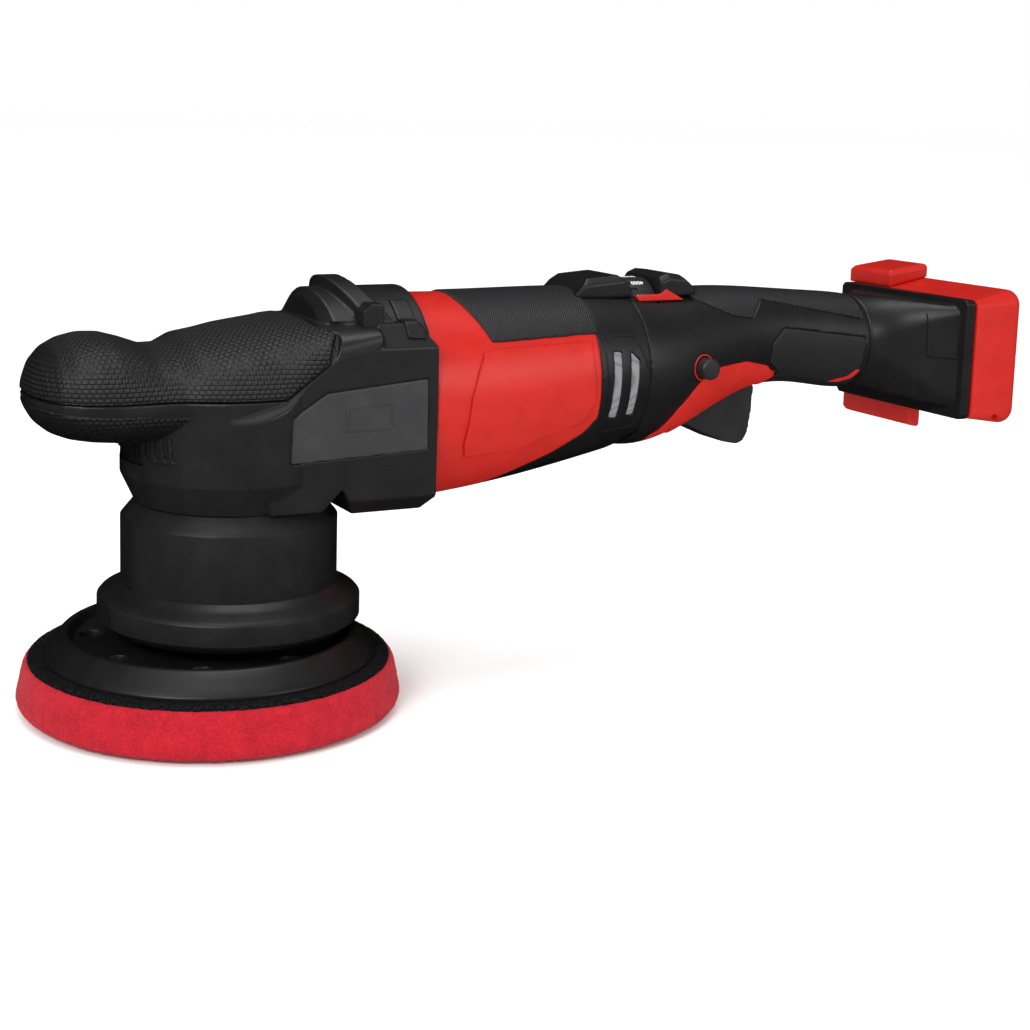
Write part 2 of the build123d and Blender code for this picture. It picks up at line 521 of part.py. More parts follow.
lock_out = -33.6
lock = rod_y(lock_r, lock_out, -18.0, lock_x, lock_z) + rod_y(lock_r - 1.5, -18.0, -8.0, lock_x, lock_z)
lock = chamfer(lock.faces().sort_by(Axis.Y)[0].edges(), 0.8)
nodes["lock_button"] = lock
bush_r = lock_r + 2.0
bush = rod_y(bush_r, -21.6, -17.0, lock_x, lock_z) - rod_y(lock_r + run, -40, 0, lock_x, lock_z)
lock_stop = rod_y(bush_r, -17.0, -9.5, lock_x, lock_z) - rod_y(lock_r + swing, -17.1, -9.4, lock_x, lock_z)
stop_web = rod_y(bush_r, -9.5, -8.5, lock_x, lock_z) - rod_y(lock_r - 1.5 + run, -20, 0, lock_x, lock_z)
nodes["lock_bush"] = bush + lock_stop + stop_web
lock_helix = Helix(pitch=2.0, height=6.6, radius=lock_r - 0.75)
lock_wire = Plane(origin=lock_helix @ 0, z_dir=lock_helix % 0) * Circle(0.35)
lock_coil = sweep(lock_wire, path=lock_helix, is_frenet=True)
nodes["lock_spring"] = Pos(lock_x, -9.9, lock_z) * Rot(90, 0, 0) * lock_coil

dial_x = (166.2, 178.0)
dial_r, dial_z, dial_axle_r = 14.0, 143.6, 2.0
dial = ring_x(dial_r, dial_axle_r + run, *dial_x, z=dial_z)
for i in range(24):
    a = math.radians(15 * i)
    dial -= Pos(dial_x[0] + 1.5, dial_r * math.cos(a),
                dial_z + dial_r * math.sin(a)) * Rot(math.degrees(a), 0, 0) * Box(
        6.0, 1.3, 1.3)
nodes["speed_dial"] = dial
yoke = block(161.8, 164.4, -5, 5, 139.5, 147.5) + block(179.6, 183.0, -5, 5, 139.5, 147.5)
yoke += block(161.8, 183.0, -5, 5, 125.4, 128.4)
yoke += block(161.8, 164.4, -5, 5, 127, 140) + block(179.6, 183.0, -5, 5, 127, 140)
nodes["dial_yoke"] = yoke + ring_x(dial_axle_r, 0, 162.0, 182.0, z=dial_z)

guard_w = 14.4
front_hump = side_prism([(139.5, 152.6), (145.5, 158.6), (160.0, 159.8), (165.2, 154.6), (165.2, 151.0),
                         (139.5, 150.0)],
                        -guard_w, guard_w)
rear_hump = side_prism([(179.0, 150.6), (179.0, 158.4), (183.0, 160.0), (189.0, 159.4), (196.0, 153.6),
                        (196.0, 151.0)],
                       -guard_w, guard_w)
front_hump = chamfer(front_hump.edges().filter_by(Axis.X, tolerance=15).group_by(Axis.Z)[-1], 2.6)
rear_hump = chamfer(rear_hump.edges().filter_by(lambda e: abs(e.tangent_at(0).Y) < 0.1 and e.center().Z > 158.6), 2.0)
nodes["dial_guards"] = Compound(children=[
    s for h in (front_hump, rear_hump) for s in ((h - lofted(body) - handle) - nodes["top_grip"]).solids()])

# ============================================================ electronics and wiring
board = block(146.0, 158.0, -21, 21, 103.4, 105.0) + block(150.0, 190.0, -17, 17, 103.4, 105.0)
for x, y in ((154, -12), (154, 12), (168, -9), (168, 9), (180, 0)):
    board += block(x - 3, x + 3, y - 3.4, y + 3.4, 104.5, 110.0)
nodes["control_board"] = board
lead_r = 1.6
leads = []
for y in (-4.0, 4.0):
    start, end = Vector(236.0, y, 132.0), Vector(flange_x + 2, 2 * y, 126.0)
    run_dir = end - start
    leads.append(extrude(Plane(origin=start, z_dir=run_dir) * Circle(lead_r), amount=run_dir.length))
nodes["power_leads"] = Compound(children=leads)

# ============================================================ battery foot and carrier
foot_z = 122.4
flange_h, flange_w = 51.6, 84.0


def foot_loft(shrink):
    faces = [Plane(origin=(foot_x, 0, grip[-1][1]), x_dir=(0, 1, 0), z_dir=(1, 0, 0))
             * RectangleRounded(2 * (grip[-1][2] - shrink), 2 * (grip[-1][3] - shrink),
                                grip[-1][2] - shrink - 0.3)]
    for x, zc, w, h, r in ((296.0, 126.2, 46.0, 42.4, 15.0), (306.0, 124.6, 60.0, 43.4, 9.0),
                           (flange_x, 123.2, 76.0, 44.0, 4.0)):
        faces.append(Plane(origin=(x, 0, zc), x_dir=(0, 1, 0), z_dir=(1, 0, 0))
                     * RectangleRounded(w - 2 * shrink, h - 2 * shrink, max(r - shrink, 1.0)))
    return loft(faces)


flange = Pos((flange_x + carrier_x) / 2, 0, foot_z) * Box(carrier_x - flange_x, flange_w, flange_h)
flange = chamfer(flange.edges().filter_by(Axis.X), 1.5)
foot = foot_loft(0.0) + flange
foot -= foot_loft(shell_wall)
foot -= block(flange_x - 1, carrier_x + 1, -30, 30, foot_z - 16, foot_z + 16)
nodes["battery_foot"] = foot.clean()
carrier_w = 86.0
carrier_front, carrier_rear = (96.8, 148.0), (92.4, 153.0)
carrier = loft([
    Plane(origin=(x, 0, (low + high) / 2), x_dir=(0, 1, 0), z_dir=(1, 0, 0)) * RectangleRounded(carrier_w,
                                                                                                high - low, r)
    for x, (low, high), r in ((carrier_x, carrier_front, 3.0), (rear_x, carrier_rear, 8.0))])
carrier = fillet(carrier.faces().sort_by(Axis.X)[-1].edges(), 5.0)
inner_low, inner_high = 99.0, 146.0
cell_space = block(carrier_x + 9, rear_x + 1, -37.0, 60.0, inner_low + 4, inner_high - 4)
rail_space = block(carrier_x + 9, rear_x - 5, -37.0, 60.0, inner_low, inner_high)
carrier = carrier - cell_space - rail_space - block(carrier_x - 1, carrier_x + 10, -28, 28, foot_z - 14,
                                                    foot_z + 14)
# lanyard notch at the low corner of the near side
carrier -= side_prism([(330.6, 95.0), (334.6, 98.6), (337.4, 97.4), (337.8, 93.0), (330.6, 92.0)],
                      -carrier_w / 2 - 1, -carrier_w / 2 + 3.5)
nodes["battery_carrier"] = carrier
latch_x = 344.0
share = (latch_x - carrier_x) / (rear_x - carrier_x)
low_at, high_at = (f + share * (r - f) for f, r in zip(carrier_front, carrier_rear))
latch_top = side_prism([(carrier_x, carrier_front[1]), (carrier_x, 155.6), (latch_x, 158.6),
                        (latch_x, high_at)],
                       15.0, carrier_w / 2)
latch_low = side_prism([(carrier_x, carrier_front[0]), (carrier_x, 88.0), (326, 86.4), (341.0, 86.0),
                        (latch_x, low_at)], -3.0, carrier_w / 2)
latch_top = chamfer(latch_top.edges().filter_by(lambda e: e.center().Z > 155.0), 1.6)
latch_low = chamfer(latch_low.edges().filter_by(lambda e: e.center().Z < 88.5), 1.2)
nodes["latch_housings"] = Compound(children=[latch_top, latch_low])
terminal = block(carrier_x + 4.0, carrier_x + 14.0, -26.0, 26.0, foot_z - 12, foot_z + 12)
for y in (-18, -6, 6, 18):
    terminal -= block(carrier_x + 9, carrier_x + 15, y - 4.2, y + 4.2, foot_z - 7, foot_z + 7)
nodes["terminal_block"] = terminal
nodes["terminals"] = Compound(children=[
    block(carrier_x + 9, carrier_x + 19.0, y - 0.5, y + 0.5, foot_z - 5.5, foot_z + 5.5) for y in (-18,
                                                                                                   -6, 6, 18)])
for y in (-34.0, 34.0):
    for z in (foot_z - 19.5, foot_z + 19.5):
        casing_screws.append(Pos(carrier_x + 9.0, y, z) * Rot(0, 90, 0) * cap_screw(1.6, 12.0, 3.0, 2.0))
        hole = Pos(carrier_x + 2, y, z) * Rot(0, 90, 0) * Cylinder(1.6 + seat, 16)
        nodes["battery_carrier"] -= hole
        nodes["battery_foot"] -= hole
nodes["casing_screws"] = Compound(children=casing_screws)

os.makedirs("parts", exist_ok=True)
for name, shape in nodes.items():
    shape.label = name
    export_step(shape, f"parts/{name}.step")
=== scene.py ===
import json
import math

import bmesh
import bpy
from mathutils import Matrix, Vector


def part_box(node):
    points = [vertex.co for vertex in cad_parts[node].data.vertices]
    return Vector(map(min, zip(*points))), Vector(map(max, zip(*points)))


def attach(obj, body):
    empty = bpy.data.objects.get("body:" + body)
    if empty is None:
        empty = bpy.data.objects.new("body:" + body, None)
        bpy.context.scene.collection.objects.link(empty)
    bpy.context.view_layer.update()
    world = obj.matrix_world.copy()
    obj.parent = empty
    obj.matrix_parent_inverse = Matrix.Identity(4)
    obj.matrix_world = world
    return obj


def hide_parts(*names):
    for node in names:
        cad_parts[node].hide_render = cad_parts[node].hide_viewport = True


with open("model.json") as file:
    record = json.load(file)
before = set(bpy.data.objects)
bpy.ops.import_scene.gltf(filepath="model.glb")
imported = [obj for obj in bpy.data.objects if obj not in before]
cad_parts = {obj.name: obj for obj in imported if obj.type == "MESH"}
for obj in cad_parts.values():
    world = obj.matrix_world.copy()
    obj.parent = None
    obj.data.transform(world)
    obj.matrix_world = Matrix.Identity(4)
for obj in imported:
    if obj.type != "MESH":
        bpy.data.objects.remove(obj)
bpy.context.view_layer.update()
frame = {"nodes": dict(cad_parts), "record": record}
nodes = frame["nodes"]
MM = 0.001


# ---------------------------------------------------------------- shader graphs
class Graph:
    """A material whose Principled shader is fed by a few helper calls. Lengths in millimetres."""

    def __init__(self, name, rough=0.5, **sockets):
        self.mat = bpy.data.materials.new(name)
        self.mat.use_nodes = True
        self.tree = self.mat.node_tree
        self.shader = self.tree.nodes["Principled BSDF"]
        self.shader.inputs["Roughness"].default_value = rough
        for key, value in sockets.items():
            self.shader.inputs[key.replace("_", " ")].default_value = value
        self.where = self.node("ShaderNodeTexCoord").outputs["Object"]
        self.last_bump = None

    def node(self, kind, **inputs):
        made = self.tree.nodes.new(kind)
        for key, value in inputs.items():
            socket = made.inputs[key.replace("_", " ")]
            if isinstance(value, bpy.types.NodeSocket):
                self.tree.links.new(value, socket)
            else:
                socket.default_value = value
        return made

    def coords(self, size=(1, 1, 1), turn=(0, 0, 0)):
        """Object coordinates in units of size millimetres, turned by degrees."""
        place = self.node("ShaderNodeMapping", Vector=self.where, Rotation=[math.radians(a) for a in turn])
        stretch = self.node("ShaderNodeVectorMath")
        stretch.operation = "MULTIPLY"
        self.tree.links.new(place.outputs["Vector"], stretch.inputs[0])
        stretch.inputs[1].default_value = [1 / (s * MM) for s in size]
        return stretch.outputs["Vector"]

    def noise(self, size, detail=3.0, rough=0.55, stretch=(1, 1, 1)):
        vector = self.coords([size * s for s in stretch])
        made = self.node("ShaderNodeTexNoise", Vector=vector, Scale=1.0, Detail=detail, Roughness=rough)
        return made.outputs["Fac"]

    def cells(self, size, turn=(0, 0, 0), jitter=0.3, feature="F1", metric="EUCLIDEAN"):
        made = self.node("ShaderNodeTexVoronoi", Vector=self.coords(size, turn), Scale=1.0, Randomness=jitter)
        made.feature, made.distance = feature, metric
        return made.outputs["Distance"]

    def ramp(self, value, *stops):
        made = self.node("ShaderNodeValToRGB", Fac=value)
        line = made.color_ramp
        while len(line.elements) < len(stops):
            line.elements.new(0.5)
        for element, (at, colour) in zip(line.elements, stops):
            element.position = at
            element.color = (*colour, 1.0) if len(colour) == 3 else colour
        return made.outputs["Color"]

    def scale_value(self, value, low, high):
        return self.node("ShaderNodeMapRange", Value=value, To_Min=low, To_Max=high).outputs["Result"]

    def maths(self, operation, a, b=0.0):
        made = self.node("ShaderNodeMath")
        made.operation = operation
        for socket, value in zip(made.inputs, (a, b)):
            if isinstance(value, bpy.types.NodeSocket):
                self.tree.links.new(value, socket)
            else:
                socket.default_value = value
        return made.outputs["Value"]

    def set(self, name, value):
        self.tree.links.new(value, self.shader.inputs[name])
        return self

    def bump(self, height, depth_mm, strength=1.0):
        made = self.node("ShaderNodeBump", Height=height, Distance=depth_mm * MM, Strength=strength)
        if self.last_bump:
            self.tree.links.new(self.last_bump, made.inputs["Normal"])
        self.last_bump = made.outputs["Normal"]
        self.set("Normal", self.last_bump)
        return self


def plastic(name, base, lighter, rough, grain_mm=0.35, grain_depth=0.015, **sockets):
    """Moulded plastic: slight mottling, a spark-eroded grain and uneven gloss."""
    g = Graph(name, rough, **sockets)
    g.set("Base Color", g.ramp(g.noise(9.0, 4.0), (0.30, base), (0.75, lighter)))
    g.set("Roughness", g.scale_value(g.noise(4.0, 5.0), rough - 0.06, rough + 0.07))
    g.bump(g.noise(grain_mm, 2.0), grain_depth)
    g.bump(g.noise(14.0, 2.0), 0.03, 0.4)
    return g


def metal(name, base, lighter, rough, stretch=(1, 1, 1)):
    g = Graph(name, rough, Metallic=1.0)
    g.set("Base Color", g.ramp(g.noise(1.2, 4.0, stretch=stretch), (0.3, base), (0.8, lighter)))
    g.set("Roughness", g.scale_value(g.noise(0.8, 4.0, stretch=stretch), rough - 0.08, rough + 0.1))
    g.bump(g.noise(0.5, 3.0, stretch=stretch), 0.01)
    return g


def scaled_grip(name, width, row, depth=0.4):
    """Rubber with staggered rows of small scales, laid on from the side, the front and the top."""
    g = Graph(name, 0.52)
    place = g.node("ShaderNodeSeparateXYZ", Vector=g.coords())
    facing = g.node("ShaderNodeSeparateXYZ", Vector=g.node("ShaderNodeTexCoord").outputs["Normal"])
    total = None
    for across, rise, axis in (("X", "Z", "Y"), ("Y", "Z", "X"), ("X", "Y", "Z")):
        flat = g.node("ShaderNodeCombineXYZ", X=place.outputs[across], Y=place.outputs[rise])
        bricks = g.node("ShaderNodeTexBrick", Vector=flat.outputs["Vector"], Scale=1.0, Mortar_Size=0.5,
                        Mortar_Smooth=1.0, Brick_Width=width, Row_Height=row)
        bricks.offset = 0.5
        weight = g.maths("POWER", g.maths("ABSOLUTE", facing.outputs[axis]), 4.0)
        part = g.maths("MULTIPLY", g.maths("SUBTRACT", 1.0, bricks.outputs["Fac"]), weight)
        total = part if total is None else g.maths("ADD", total, part)
    g.set("Base Color", g.ramp(total, (0.05, (0.0035, 0.0035, 0.004)), (0.8, (0.012, 0.012, 0.013))))
    g.set("Roughness", g.scale_value(g.noise(3.0, 4.0), 0.42, 0.6))
    g.bump(total, depth)
    g.bump(g.noise(0.3, 2.0), 0.012)
    return g.mat


def ribbed_grip(name, pitch, turn, depth=0.12):
    """Rubber with a fine slanting rib."""
    g = Graph(name, 0.55)
    wave = g.node("ShaderNodeTexWave", Vector=g.coords((pitch, pitch, pitch), turn), Scale=0.5, Distortion=0.35)
    wave.bands_direction = "X"
    ribs = wave.outputs["Fac"]
    g.set("Base Color", g.ramp(ribs, (0.1, (0.007, 0.007, 0.008)), (0.85, (0.020, 0.020, 0.022))))
    g.set("Roughness", g.scale_value(g.noise(3.0, 4.0), 0.45, 0.62))
    g.bump(ribs, depth)
    g.bump(g.noise(0.3, 2.0), 0.01)
    return g.mat


def foam_material():
    g = Graph("foam", 0.85)
    g.shader.inputs["Sheen Weight"].default_value = 0.08
    g.shader.inputs["Specular IOR Level"].default_value = 0.2
    g.shader.inputs["Sheen Tint"].default_value = (1.0, 0.45, 0.5, 1.0)
    pores = g.cells((0.8, 0.8, 0.8), jitter=1.0)
    broad = g.noise(6.0, 5.0)
    mixed = g.maths("ADD", g.maths("MULTIPLY", pores, 0.45), g.maths("MULTIPLY", broad, 0.6))
    g.set("Base Color", g.ramp(mixed, (0.2, (0.21, 0.004, 0.009)), (0.5, (0.36, 0.006, 0.015)),
                               (0.9, (0.50, 0.011, 0.025))))
    g.bump(g.noise(2.6, 5.0, 0.7), 0.5, 0.7)
    g.bump(pores, 0.25, 0.7)
    return g.mat


def fleece_material():
    g = Graph("fleece", 0.95)
    g.shader.inputs["Specular IOR Level"].default_value = 0.15
    pile = g.noise(0.7, 5.0)
    g.set("Base Color", g.ramp(pile, (0.42, (0.0015, 0.0015, 0.0018)), (0.75, (0.020, 0.019, 0.021))))
    g.bump(g.noise(0.9, 5.0, 0.7), 0.9)
    return g.mat


def mesh_material():
    """Grey woven dust screen."""
    g = Graph("dust_mesh", 0.6)
    weave = g.cells((0.9, 0.9, 0.9), (0, 45, 0), jitter=0.0, metric="CHEBYCHEV")
    g.set("Base Color", g.ramp(weave, (0.18, (0.30, 0.30, 0.31)), (0.5, (0.10, 0.10, 0.105))))
    g.bump(weave, 0.2)
    return g.mat


def board_material():
    g = Graph("circuit_board", 0.4)
    tracks = g.cells((2.4, 2.4, 2.4), jitter=0.1, metric="CHEBYCHEV")
    g.set("Base Color", g.ramp(tracks, (0.3, (0.01, 0.16, 0.06)), (0.45, (0.02, 0.24, 0.09))))
    g.bump(tracks, 0.05)
    return g.mat


BLACK, BLACK_UP = (0.0065, 0.0065, 0.007), (0.0095, 0.0095, 0.0102)
RED, RED_UP = (0.40, 0.006, 0.002), (0.47, 0.008, 0.003)
shell_black = plastic("shell_black", BLACK, BLACK_UP, 0.42).mat
case_black = plastic("case_black", (0.008, 0.008, 0.0086), (0.0115, 0.0115, 0.0122), 0.40, 0.5, 0.02).mat
neck_black = plastic("neck_black", (0.009, 0.009, 0.0098), (0.013, 0.013, 0.014), 0.38, 0.4, 0.02).mat
plate_black = plastic("plate_black", (0.0055, 0.0055, 0.006), (0.0085, 0.0085, 0.009), 0.42, 0.6, 0.015).mat
panel_grey = plastic("panel_grey", (0.026, 0.026, 0.028), (0.034, 0.034, 0.036), 0.55, 0.45, 0.04).mat
part_black = plastic("part_black", (0.012, 0.012, 0.013), (0.018, 0.018, 0.019), 0.48).mat
red = plastic("red_plastic", RED, RED_UP, 0.38, 0.3, 0.008, **{"Specular IOR Level": 0.35}).mat
nose_rubber = scaled_grip("nose_rubber", 2.3, 1.6)
hatch_rubber = ribbed_grip("hatch_rubber", 1.0, (35, 0, 40))
side_rubber = ribbed_grip("side_rubber", 0.8, (0, 35, 0), 0.05)
foam = foam_material()
fleece = fleece_material()
screen = mesh_material()
board = board_material()
steel = metal("steel", (0.42, 0.42, 0.43), (0.6, 0.6, 0.61), 0.3).mat
dark_steel = metal("dark_steel", (0.05, 0.05, 0.055), (0.1, 0.1, 0.1), 0.42).mat
iron = metal("machined_iron", (0.16, 0.16, 0.165), (0.26, 0.26, 0.27), 0.45).mat
alloy = metal("cast_alloy", (0.45, 0.45, 0.46), (0.6, 0.6, 0.61), 0.42).mat
copper = metal("copper_wire", (0.45, 0.16, 0.06), (0.7, 0.3, 0.13), 0.3).mat
brass = metal("brass", (0.6, 0.42, 0.15), (0.75, 0.55, 0.24), 0.28).mat
lead_red = plastic("lead_red", (0.3, 0.01, 0.01), (0.4, 0.015, 0.015), 0.5).mat
digit_white = plastic("digit_white", (0.68, 0.68, 0.68), (0.8, 0.8, 0.8), 0.5).mat

FINISH = {
    "foam": foam, "loop_fabric": fleece, "plate_plastic": plate_black, "steel": steel, "steel_dark": dark_steel,
    "iron": iron, "bearing_steel": steel, "gear_steel": iron, "magnet_steel": steel, "fan_plastic": part_black,
    "copper": copper, "aluminium": alloy, "board": board, "shroud_rubber": neck_black, "case_metal": case_black,
    "soft_grip": hatch_rubber, "panel_plastic": panel_grey, "black_plastic": shell_black, "red_plastic": red,
    "mesh_plastic": screen, "trigger_plastic": part_black, "spring_steel": steel, "switch_plastic": part_black,
    "lead_rubber": lead_red, "brass": brass,
}
OWN_FINISH = {"palm_pad": nose_rubber, "nose_grip_upper": nose_rubber, "nose_grip_lower": nose_rubber,
              "handle_side_grips": side_rubber}
slot_of = {part["node"]: part["material_slot"] for part in frame["record"]["subparts"]}


def finish_of(node):
    return OWN_FINISH.get(node, FINISH[slot_of[node]])


def paint(obj, material):
    obj.data.materials.clear()
    obj.data.materials.append(material)


for name, obj in nodes.items():
    for index in range(len(obj.material_slots)):
        obj.material_slots[index].material = finish_of(name)


# ---------------------------------------------------------------- mesh helpers
body_of = {n: b for b, members in frame["record"]["behaviour"]["bodies"].items() for n in members}


def add_object(name, mesh, material, body, replaced=(), smooth=True):
    obj = bpy.data.objects.new(name, mesh)
    bpy.context.scene.collection.objects.link(obj)
    paint(obj, material)
    mesh.polygons.foreach_set("use_smooth", [smooth] * len(mesh.polygons))
    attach(obj, body)
    if replaced:
        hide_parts(*replaced)
    return obj


def helper_object(mesh):
    obj = bpy.data.objects.new("helper", mesh)
    bpy.context.scene.collection.objects.link(obj)
    return obj


def baked(obj):
    """The mesh of a helper object with its modifiers applied. The helper goes."""
    mesh = bpy.data.meshes.new_from_object(obj.evaluated_get(bpy.context.evaluated_depsgraph_get()))
    mesh.materials.clear()
    bpy.data.objects.remove(obj)
    return mesh


def softened(mesh, voxel, rounds, keep=1.0):
    """Voxel remesh and smoothing, which round every edge as a mould does."""
    obj = helper_object(mesh)
    remesh = obj.modifiers.new("remesh", "REMESH")
    remesh.mode, remesh.voxel_size = "VOXEL", voxel * MM
    if rounds:
        soft = obj.modifiers.new("soft", "SMOOTH")
        soft.factor, soft.iterations = 0.5, rounds
    if keep < 1.0:
        obj.modifiers.new("fewer", "DECIMATE").ratio = keep
    return baked(obj)


def combined(mesh, other, operation):
    """Boolean of two closed meshes."""
    obj, tool = helper_object(mesh), helper_object(other)
    made = obj.modifiers.new("join", "BOOLEAN")
    made.operation, made.solver, made.object = operation, "MANIFOLD", tool
    result = baked(obj)
    bpy.data.objects.remove(tool)
    return result


def grown(mesh, height):
    obj = helper_object(mesh.copy())
    push = obj.modifiers.new("push", "DISPLACE")
    push.strength, push.mid_level = height * MM, 0.0
    return baked(obj)


def merged(*meshes):
    """One mesh holding copies of all of them."""
    made = bmesh.new()
    for mesh in meshes:
        made.from_mesh(mesh)
    result = bpy.data.meshes.new("merged")
    made.to_mesh(result)
    made.free()
    return result


def prism(outline, low, high, across="Y"):
    """Closed prism, in mm: an X-Z outline between two Y planes, or an X-Y outline between two Z planes."""
    made = bmesh.new()
    place = (lambda a, b, c: (a, c, b)) if across == "Y" else (lambda a, b, c: (a, b, c))
    rings = [[made.verts.new(Vector(place(a, b, c)) * MM) for a, b in outline] for c in (low, high)]
    made.faces.new(rings[0])
    made.faces.new(rings[1])
    for i in range(len(outline)):
        j = (i + 1) % len(outline)
        made.faces.new((rings[0][i], rings[0][j], rings[1][j], rings[1][i]))
    bmesh.ops.recalc_face_normals(made, faces=made.faces)
    mesh = bpy.data.meshes.new("prism")
    made.to_mesh(mesh)
    made.free()
    return mesh


def lathe(profile, centre_x=0.0, steps=192):
    """Closed solid of revolution about an upright axis, from an r-z outline in mm."""
    made = bmesh.new()
    rings = []
    for r, z in profile:
        if r == 0:
            rings.append([made.verts.new((centre_x * MM, 0, z * MM))])
        else:
            rings.append([made.verts.new(((centre_x + r * math.cos(a)) * MM, r * math.sin(a) * MM, z * MM))
                          for a in (2 * math.pi * i / steps for i in range(steps))])
    for low, high in zip(rings, rings[1:] + rings[:1]):
        if len(low) == 1 and len(high) == 1:
            continue
        for i in range(steps):
            j = (i + 1) % steps
            corners = [low[i % len(low)], low[j % len(low)], high[j % len(high)], high[i % len(high)]]
            made.faces.new(list(dict.fromkeys(corners)))
    bmesh.ops.recalc_face_normals(made, faces=made.faces)
    mesh = bpy.data.meshes.new("lathe")
    made.to_mesh(mesh)
    made.free()
    return mesh


def cad_mesh(node):
    """A copy of the node's mesh with its faces joined up."""
    made = bmesh.new()
    made.from_mesh(nodes[node].data)
    bmesh.ops.remove_doubles(made, verts=made.verts, dist=0.002 * MM)
    mesh = bpy.data.meshes.new(node)
    made.to_mesh(mesh)
    made.free()
    return mesh


skins = {}


def moulded(node, voxel=0.6, rounds=3, keep=0.5):
    """The CAD node's shape with moulded edges."""
    mesh = softened(cad_mesh(node), voxel, rounds, keep)
    skins[node] = mesh
    return add_object(node + "_skin", mesh, finish_of(node), body_of[node], (node,))


def edged(node, width):
    """The CAD node's shape with crisp broken edges."""
    obj = helper_object(cad_mesh(node))
    obj.data.polygons.foreach_set("use_smooth", [True] * len(obj.data.polygons))
    bevel = obj.modifiers.new("edges", "BEVEL")
    bevel.width, bevel.segments, bevel.limit_method = width * MM, 3, "ANGLE"
    bevel.angle_limit, bevel.harden_normals, bevel.use_clamp_overlap = math.radians(25), True, True
    mesh = baked(obj)
    skins[node] = mesh
    return add_object(node + "_skin", mesh, finish_of(node), body_of[node], (node,))


# ---------------------------------------------------------------- head, nose and soft front grip
def through_sections(sections, steps=72):
    """Closed body through sections x, side line height, top, bottom, half width, power. Above the side line the
    outline is a superellipse up to the top, and below it another down to the bottom."""
    made = bmesh.new()
    rings = []
    for x, line_z, top, bottom, half, power in sections:
        ring = []
        for i in range(steps):
            a = 2 * math.pi * i / steps
            across, rise = math.cos(a), math.sin(a)
            y = half * math.copysign(abs(across) ** (2 / power), across)
            reach = (top - line_z) if rise > 0 else (line_z - bottom)
            z = line_z + reach * math.copysign(abs(rise) ** (2 / power), rise)
            ring.append(made.verts.new(Vector((x, y, z)) * MM))
        rings.append(ring)
    for low, high in zip(rings, rings[1:]):
        for i in range(steps):
            j = (i + 1) % steps
            made.faces.new((low[i], low[j], high[j], high[i]))
    made.faces.new(rings[0])
    made.faces.new(rings[-1])
    bmesh.ops.recalc_face_normals(made, faces=made.faces)
    mesh = bpy.data.meshes.new("sections")
    made.to_mesh(mesh)
    made.free()
    return mesh


HEAD_HALF = 38.3                # half width across the flat sides
FRONT_R = 40.8                  # rounded front of the head
WIDE = 60.0                     # reaches past both sides of the tool
CASE_VOXEL = 0.42
front_form = through_sections([
    (-76.4, 121.4, 124.0, 119.4, 4.0, 2.0), (-75.4, 121.2, 128.6, 115.6, 12.0, 2.1),
    (-72.6, 120.6, 134.2, 111.2, 19.0, 2.2), (-68.6, 120.0, 138.0, 108.0, 24.0, 2.3),
    (-63.0, 119.4, 140.6, 106.0, 28.0, 2.4), (-56.0, 119.0, 142.1, 104.8, 30.4, 2.4),
    (-49.0, 118.6, 141.9, 104.2, 31.2, 2.4), (-42.0, 118.4, 140.0, 103.8, 30.8, 2.3),
    (-34.0, 118.2, 137.2, 103.2, 30.4, 2.2), (-27.0, 118.2, 137.6, 102.2, 31.4, 2.0),
    (-20.0, 118.4, 141.0, 102.2, 34.4, 2.1), (-12.0, 118.8, 142.4, 102.2, 37.2, 2.0),
    (-4.0, 119.0, 144.2, 102.2, HEAD_HALF, 2.0), (8.0, 119.8, 145.8, 102.2, HEAD_HALF, 2.1),
    (18.0, 127.0, 146.3, 102.2, HEAD_HALF, 2.6), (27.0, 134.4, 146.3, 102.2, HEAD_HALF, 3.0),
    (46.0, 139.6, 146.4, 102.2, HEAD_HALF, 3.6)])
front_form = softened(front_form, 0.8, 8)
gear_room = prism([(-27, 70), (-27, 126), (60, 126), (60, 70)], -22, 22)


def part_of_front(height, side_outline):
    """The front form grown by a height, within an X-Z outline and clear of the gears."""
    inside = combined(grown(front_form, height), prism(side_outline, -WIDE, WIDE), "INTERSECT")
    return combined(inside, gear_room, "DIFFERENCE")


# The casing gives way to the front form above its side line. A core, the strip between the grips, the rounded
# ledge below the upper grip and the crest behind it are joined on.
crown_side = [(-60, 118.4), (8.0, 119.4), (27.0, 134.2), (45.5, 139.4), (45.5, 146.3), (27.6, 146.3),
              (27.6, 170), (-60, 170)]
crown_cut = combined(prism(crown_side, -WIDE, WIDE), grown(front_form, -0.05), "DIFFERENCE")
case_core = combined(softened(cad_mesh("gear_case"), CASE_VOXEL, 1), crown_cut, "DIFFERENCE")
core_form = combined(combined(grown(front_form, -1.4), gear_room, "DIFFERENCE"), prism(
    [(-90, 90), (-90, 150), (27, 150), (27, 118), (-24, 110), (-24, 90)], -WIDE, WIDE), "INTERSECT")
band_form = part_of_front(0.3, [(-90, 106), (-90, 121.6), (-70, 120.6), (-36, 120.3), (-22.0, 120.3),
                                (-22.0, 104.0)])
ledge_plan = [(x, min(HEAD_HALF, math.sqrt(FRONT_R ** 2 - x ** 2)) * side)
              for side in (-1, 1) for x in range(-26, 29)[::side]]
ledge_form = combined(prism(ledge_plan, 104.0, 120.3, "Z"), gear_room, "DIFFERENCE")
crest_form = part_of_front(-0.05, [(8.0, 112.0), (8.0, 119.4), (27.0, 134.2), (29.5, 141.0), (29.5, 160),
                                   (46, 160), (46, 112)])
head_mesh = softened(merged(case_core, core_form, band_form, ledge_form, crest_form), CASE_VOXEL, 1, 0.5)
skins["gear_case"] = head_mesh
